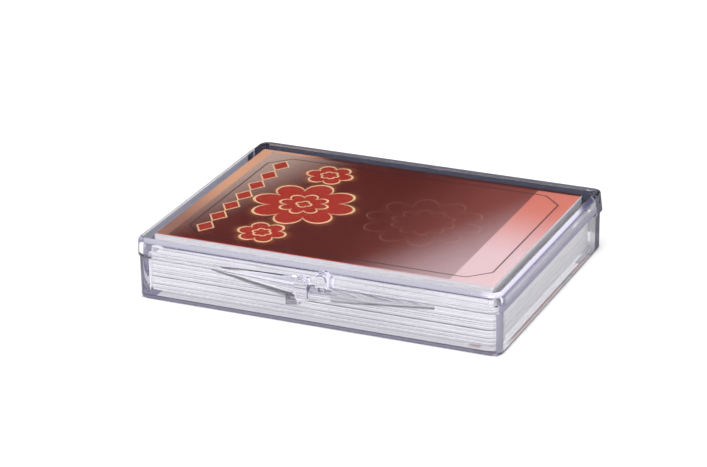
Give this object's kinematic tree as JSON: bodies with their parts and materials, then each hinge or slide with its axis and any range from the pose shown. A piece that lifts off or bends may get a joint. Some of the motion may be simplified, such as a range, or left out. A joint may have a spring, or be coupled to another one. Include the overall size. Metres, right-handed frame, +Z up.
{
  "type": "card storage case",
  "caption": "Flat clear plastic case with a hinged lid and front thumb latch, holding a stack of collectible cards.",
  "frame": {"origin": "middle of the flat underside, centred between the tray's ends and between its front and rear walls", "axes": "+X along the long side, to the right seen from the latch; -Y towards the latch and +Y towards the hinge; +Z up"},
  "size_m": [0.0966, 0.0774, 0.0159],
  "materials": {
    "clear_plastic": "polished",
    "card_stock": "satin",
    "printed_card": "gloss",
    "printed_underside": "satin"
  },
  "bodies": {
    "tray": {"base": "clear_plastic", "bottom_card": "printed_underside", "card_02": "card_stock", "card_03": "card_stock", "card_04": "card_stock", "card_05": "card_stock", "card_06": "card_stock", "card_07": "card_stock", "card_08": "card_stock", "card_09": "card_stock", "card_10": "card_stock", "card_11": "card_stock", "card_12": "card_stock", "card_13": "card_stock", "card_14": "card_stock", "card_15": "card_stock", "card_16": "card_stock", "card_17": "card_stock", "card_18": "card_stock", "card_19": "card_stock", "card_20": "card_stock", "card_21": "card_stock", "card_22": "card_stock", "card_23": "card_stock", "card_24": "card_stock", "top_card": "printed_card"},
    "cover": {"lid": "clear_plastic"}
  },
  "joints": [
    {"name": "lid_hinge", "type": "hinge", "parent": "tray", "child": "cover", "pos_m": [0, 0.0332, 0.0139], "axis": [-1, 0, 0], "range_deg": [0, 104]}
  ]
}
